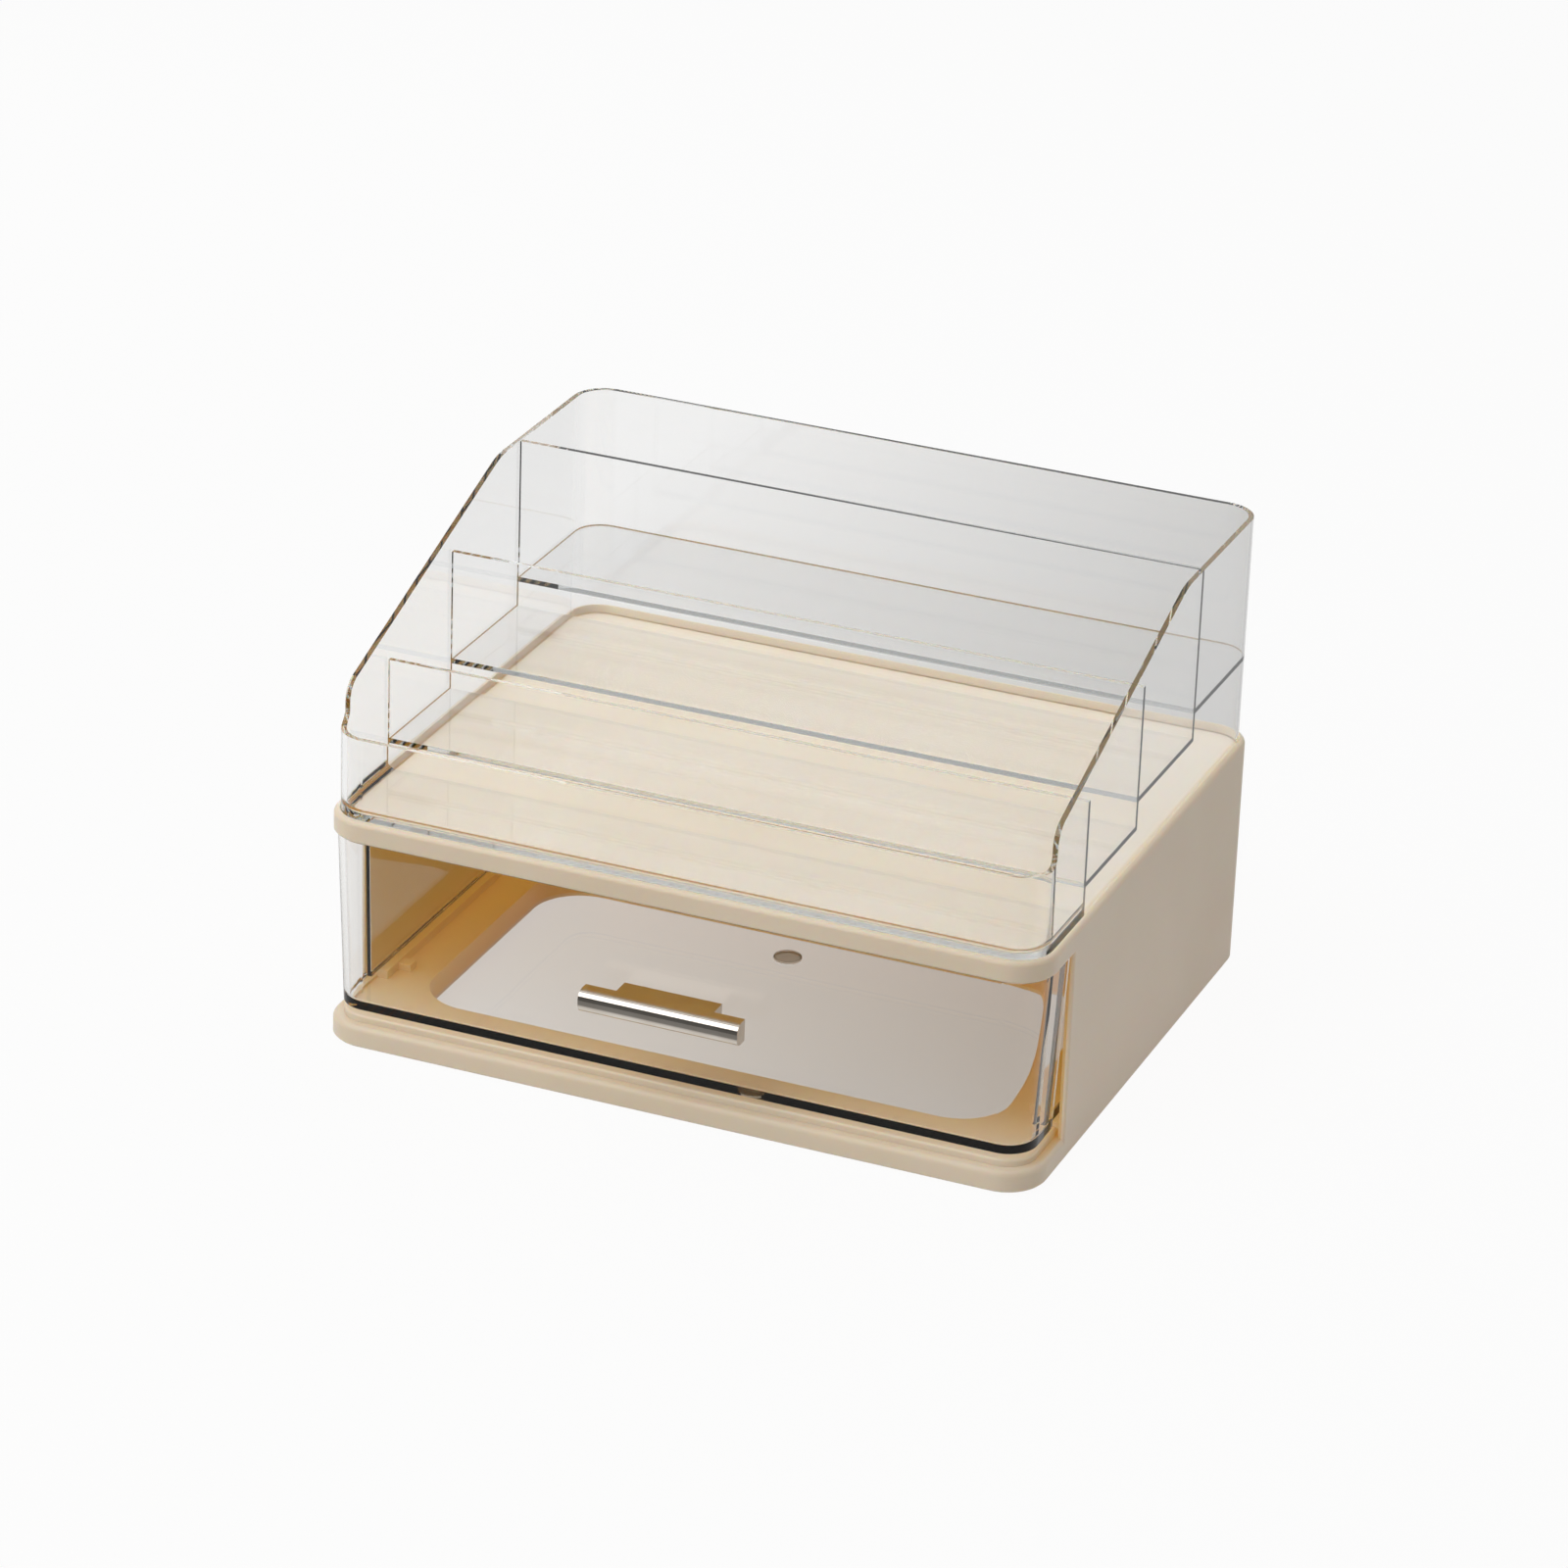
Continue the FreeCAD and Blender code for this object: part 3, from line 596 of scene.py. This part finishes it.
@dataclass
class PullScrews:
    """The two pan-head screws that hold the pull from inside the drawer."""

    node: str = "handle_screws"
    head_height: float = 1.9 * MM
    head_round: float = 1.1 * MM
    shank_radius: float = 1.5 * MM
    thread_pitch: float = 0.8 * MM
    thread_root: float = 0.8
    recess_length: float = 3.4 * MM
    recess_width: float = 0.75 * MM
    recess_depth: float = 1.2 * MM
    recess_taper: float = 0.55
    sides: int = 32
    round_segments: int = 4
    smooth_angle: float = math.radians(35)

    def build(self) -> bpy.types.Object:
        """Models one screw, copies it to the second screw's place and joins the pair.

        Returns:
            The pair of screws, in place of the plain CAD pair.
        """
        low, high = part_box(self.node)
        head_radius = (high.z - low.z) / 2
        screw = self.turn_screw(head_radius, high.y - low.y)
        self.cut_recess(screw)
        height = (low.z + high.z) / 2
        screw.rotation_euler = (-math.pi / 2, 0.0, 0.0)
        screw.location = (low.x + head_radius, high.y, height)
        bpy.ops.object.select_all(action="DESELECT")
        screw.select_set(True)
        bpy.context.view_layer.objects.active = screw
        bpy.ops.object.transform_apply(location=True, rotation=True, scale=True)
        bpy.ops.object.duplicate()
        bpy.context.object.location.x = high.x - low.x - 2 * head_radius
        bpy.ops.object.transform_apply(location=True, rotation=True, scale=True)
        screw.select_set(True)
        bpy.context.view_layer.objects.active = screw
        bpy.ops.object.join()
        screw.name = "pull_screw_pair"
        bpy.ops.object.shade_smooth_by_angle(angle=self.smooth_angle)
        return screw

    def turn_screw(self, head_radius: float, length: float) -> bpy.types.Object:
        """Models the round of one screw, standing with its head's top at the origin.

        Args:
            head_radius: Radius of the pan head.
            length: Whole length, head and shank.

        Returns:
            The screw without its recess.
        """
        bpy.ops.object.select_all(action="DESELECT")
        bpy.ops.mesh.primitive_cylinder_add(vertices=self.sides, radius=head_radius, depth=self.head_height,
                                            location=(0.0, 0.0, -self.head_height / 2))
        screw = bpy.context.object
        bpy.ops.object.transform_apply(location=True, rotation=True, scale=True)
        bpy.ops.object.mode_set(mode="EDIT")
        self.select_end(screw, End.LOWER)
        self.resize(self.shank_radius / head_radius, inset=True)
        turns = int((length - self.head_height) / self.thread_pitch)
        for _ in range(turns):
            for share in (self.thread_root, 1 / self.thread_root):
                bpy.ops.mesh.extrude_region_move(
                    TRANSFORM_OT_translate={"value": (0.0, 0.0, -self.thread_pitch / 2)})
                self.resize(share)
        rest = length - self.head_height - turns * self.thread_pitch
        bpy.ops.mesh.extrude_region_move(TRANSFORM_OT_translate={"value": (0.0, 0.0, -rest)})
        self.resize(self.thread_root)
        self.select_end(screw, End.UPPER)
        bpy.ops.mesh.bevel(offset=self.head_round, segments=self.round_segments, affect="EDGES")
        bpy.ops.object.mode_set(mode="OBJECT")
        return screw

    @staticmethod
    def select_end(piece: bpy.types.Object, end: End) -> None:
        """Selects one end face of an upright piece that is in edit mode.

        Args:
            piece: The piece.
            end: The end that is wanted.
        """
        bpy.ops.mesh.select_all(action="DESELECT")
        bpy.ops.object.mode_set(mode="OBJECT")
        ends = [face for face in piece.data.polygons if abs(face.normal.z) > SQUARE_ON]
        farthest = max if end is End.UPPER else min
        wanted = farthest(ends, key=lambda face: face.center.z)
        wanted.select = True
        bpy.ops.object.mode_set(mode="EDIT")
        bpy.ops.mesh.select_mode(type="FACE")

    @staticmethod
    def resize(share: float, inset: bool = False) -> None:
        """Shrinks or widens the selected end face about the screw's axis.

        Args:
            share: Its new size as a share of the old.
            inset: Whether the old outline stays and the face gets a new one.
        """
        if inset:
            bpy.ops.mesh.extrude_region_move(TRANSFORM_OT_translate={"value": (0.0, 0.0, 0.0)})
        bpy.ops.transform.resize(value=(share, share, 1.0), center_override=(0.0, 0.0, 0.0))

    def cut_recess(self, screw: bpy.types.Object) -> None:
        """Cuts the tapered cross recess into the head.

        Args:
            screw: The screw, with its head's top at the origin.
        """
        for size in ((self.recess_length, self.recess_width), (self.recess_width, self.recess_length)):
            bpy.ops.object.select_all(action="DESELECT")
            bpy.ops.mesh.primitive_cube_add(size=1.0)
            cutter = bpy.context.object
            cutter.scale = (size[0], size[1], 2 * self.recess_depth)
            bpy.ops.object.transform_apply(location=True, rotation=True, scale=True)
            bpy.ops.object.mode_set(mode="EDIT")
            self.select_end(cutter, End.LOWER)
            self.resize(self.recess_taper)
            bpy.ops.object.mode_set(mode="OBJECT")
            bpy.ops.object.select_all(action="DESELECT")
            bpy.context.view_layer.objects.active = screw
            cut = screw.modifiers.new("cross_recess", "BOOLEAN")
            cut.operation = "DIFFERENCE"
            cut.object = cutter
            bpy.ops.object.modifier_apply(modifier=cut.name)
            bpy.data.objects.remove(cutter)


@dataclass
class Drawer:
    """The clear tray, its plated pull and the two screws that hold the pull."""

    tray_node: str = "drawer_tray"
    handle_node: str = "drawer_handle"
    tray_finish: ClearMoulding = ClearMoulding(name="clear_polystyrene_drawer", depth_colour="#dedacf",
                                               density=26.0, bend=1.3)
    screws: PullScrews = field(default_factory=PullScrews)

    def dress(self, nodes: dict[str, bpy.types.Object]) -> None:
        """Gives the tray and the pull their finishes, and puts the detailed screws in.

        Args:
            nodes: The CAD nodes by name.
        """
        dress(nodes[self.tray_node], self.tray_finish.make(self.tray_node))
        dress(nodes[self.handle_node], NickelPlate().make())
        pair = self.screws.build()
        dress(pair, ZincSteel().make())
        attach(pair, Body.DRAWER.value)
        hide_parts(self.screws.node)
        LOG.info("drawer: tray, pull and screws")


@dataclass
class Rack:
    """The clear stepped rack."""

    rack_node: str = "stepped_rack"

    def dress(self, nodes: dict[str, bpy.types.Object]) -> None:
        """Gives the rack its finish.

        Args:
            nodes: The CAD nodes by name.
        """
        dress(nodes[self.rack_node], ClearMoulding(name="clear_polystyrene_rack").make())
        LOG.info("rack: one moulding")


@dataclass(frozen=True)
class SoftBox:
    """One soft lamp of the studio, aimed at the object."""

    name: str
    place: tuple[float, float, float]
    size: tuple[float, float]
    watts: float

    def make(self, aim: Vector) -> bpy.types.Object:
        """Hangs the lamp.

        Args:
            aim: The point that it shines at.

        Returns:
            The lamp.
        """
        light = bpy.data.lights.new(self.name, "AREA")
        light.shape = "RECTANGLE"
        light.size, light.size_y = self.size
        light.energy = self.watts
        lamp = bpy.data.objects.new(self.name, light)
        lamp.location = self.place
        lamp.rotation_euler = (Vector(self.place) - aim).to_track_quat("Z", "Y").to_euler()
        # A clear wall pipes what is above it down to its heel: the lamp itself would burn out there.
        lamp.visible_transmission = False
        bpy.context.scene.collection.objects.link(lamp)
        return lamp


@dataclass
class Studio:
    """White paper sweep, soft lamps and an even surround."""

    floor_size: float = 14.0
    aim: Vector = field(default_factory=lambda: Vector((0.0, 0.0, 0.07)))
    ambient: float = 0.46
    ambient_colour: str = "#fffefb"
    # What mirrors show of the surround, from straight ahead (0) to straight behind (1)
    front_to_back: tuple[tuple[float, float], ...] = ((0.05, 0.1), (0.3, 0.28), (0.5, 0.9), (0.7, 1.0))
    # What clear edges show of it, and the light that falls through the clear plastic
    overhead_seen: float = 0.5
    overhead_light: tuple[float, float, float] = (1.24, 1.34, 1.52)
    lamps: tuple[SoftBox, ...] = (
        SoftBox("key_soft_box", (-0.8, -1.0, 1.25), (1.3, 1.3), 13.5),
        SoftBox("rear_left_soft_box", (-0.75, 0.85, 0.55), (0.5, 0.5), 0.9),
    )

    def build(self) -> None:
        """Lays the floor, hangs the lamps and lights the surround."""
        bpy.ops.object.select_all(action="DESELECT")
        bpy.ops.mesh.primitive_plane_add(size=self.floor_size)
        floor = bpy.context.object
        floor.name = "studio_floor"
        dress(floor, StudioPaper().make())
        for lamp in self.lamps:
            lamp.make(self.aim)
        self.surround()
        LOG.info("studio: floor, surround and %d lamps", len(self.lamps))

    def surround(self) -> None:
        """Makes the surround: plain light on the object, white behind it, darker before it where it mirrors."""
        world = bpy.data.worlds.new("studio_surround")
        world.use_nodes = True
        tree = world.node_tree
        tree.nodes.clear()
        way = add_node(tree, "ShaderNodeTexCoord").outputs["Generated"]
        axes = add_node(tree, "ShaderNodeSeparateXYZ", {"Vector": way})
        front = add_node(tree, "ShaderNodeMapRange", {"Value": axes.outputs["Y"], "From Min": -1.0})
        dim = add_node(tree, "ShaderNodeValToRGB", {"Fac": front.outputs["Result"]})
        set_stops(dim, tuple((place, grey(level)) for place, level in self.front_to_back))
        path = add_node(tree, "ShaderNodeLightPath")
        # The count of matt bounces tells light that falls on a piece from what the eye sees through an edge.
        falls_in = add_node(tree, "ShaderNodeMath", {0: path.outputs["Diffuse Depth"], 1: 0.5},
                            operation="GREATER_THAN")
        overhead = add_node(tree, "ShaderNodeMix",
                            {0: falls_in.outputs["Value"], 6: grey(self.overhead_seen),
                             7: (*self.overhead_light, 1.0)},
                            data_type="RGBA")
        through = add_node(tree, "ShaderNodeMix",
                           {0: path.outputs["Is Transmission Ray"], 6: dim.outputs["Color"], 7: overhead.outputs[2]},
                           data_type="RGBA")
        shown = add_node(tree, "ShaderNodeMix",
                         {0: path.outputs["Is Camera Ray"], 6: through.outputs[2], 7: grey(1.0)},
                         data_type="RGBA")
        seen = path.outputs["Is Camera Ray"]
        for rays in ("Is Glossy Ray", "Is Transmission Ray"):
            seen = add_node(tree, "ShaderNodeMath", {0: seen, 1: path.outputs[rays]},
                            operation="MAXIMUM").outputs["Value"]
        light = add_node(tree, "ShaderNodeBackground",
                         {"Color": linear(self.ambient_colour), "Strength": self.ambient})
        picture = add_node(tree, "ShaderNodeBackground", {"Color": shown.outputs[2], "Strength": 1.0})
        mixed = add_node(tree, "ShaderNodeMixShader",
                         {0: seen, 1: light.outputs["Background"], 2: picture.outputs["Background"]})
        add_node(tree, "ShaderNodeOutputWorld", {"Surface": mixed.outputs["Shader"]})
        bpy.context.scene.world = world


@dataclass
class PhotoCamera:
    """A long lens from the front right, above the object, with a slight tilt of the frame."""

    look_at_mm: tuple[float, float, float] = (0.03, -7.17, 91.99)
    azimuth: float = 21.93
    elevation: float = 24.719
    roll: float = 2.103
    distance_mm: float = 2304.9
    lens: float = 143.935
    sensor: float = 36.0
    sight: float = 100.0

    def build(self) -> bpy.types.Object:
        """Sets the camera up and makes it the scene's own.

        Returns:
            The camera.
        """
        turn, lift, tilt = (math.radians(a) for a in (self.azimuth, self.elevation, self.roll))
        back = Vector((math.sin(turn) * math.cos(lift), -math.cos(turn) * math.cos(lift), math.sin(lift)))
        level = Vector((math.cos(turn), math.sin(turn), 0.0))
        upright = back.cross(level)
        right = math.cos(tilt) * level + math.sin(tilt) * upright
        up = math.cos(tilt) * upright - math.sin(tilt) * level
        data = bpy.data.cameras.new("photo_camera")
        data.lens = self.lens
        data.sensor_width = self.sensor
        data.clip_end = self.sight
        camera = bpy.data.objects.new("photo_camera", data)
        place = Vector(self.look_at_mm) * MM + back * self.distance_mm * MM
        camera.matrix_world = Matrix.Translation(place) @ Matrix((right, up, back)).transposed().to_4x4()
        bpy.context.scene.collection.objects.link(camera)
        bpy.context.scene.camera = camera
        LOG.info("camera: %.0f mm lens", self.lens)
        return camera


def set_render_look() -> None:
    """Shows colours as they are written, and lets light cross all the clear walls of the rack."""
    scene = bpy.context.scene
    scene.view_settings.view_transform = "Standard"
    scene.cycles.max_bounces = MOST_TURNS
    scene.cycles.transmission_bounces = MOST_TURNS
    scene.cycles.glossy_bounces = MOST_MIRRORINGS
    scene.cycles.transparent_max_bounces = MOST_CLEAR_SHADOWS


def main() -> None:
    """Builds the organizer's looks and the studio around it."""
    logging.basicConfig(level=logging.INFO, format="%(message)s")
    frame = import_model()
    Cabinet().dress(frame["nodes"])
    Drawer().dress(frame["nodes"])
    Rack().dress(frame["nodes"])
    Studio().build()
    PhotoCamera().build()
    set_render_look()


if __name__ == "__main__":
    main()
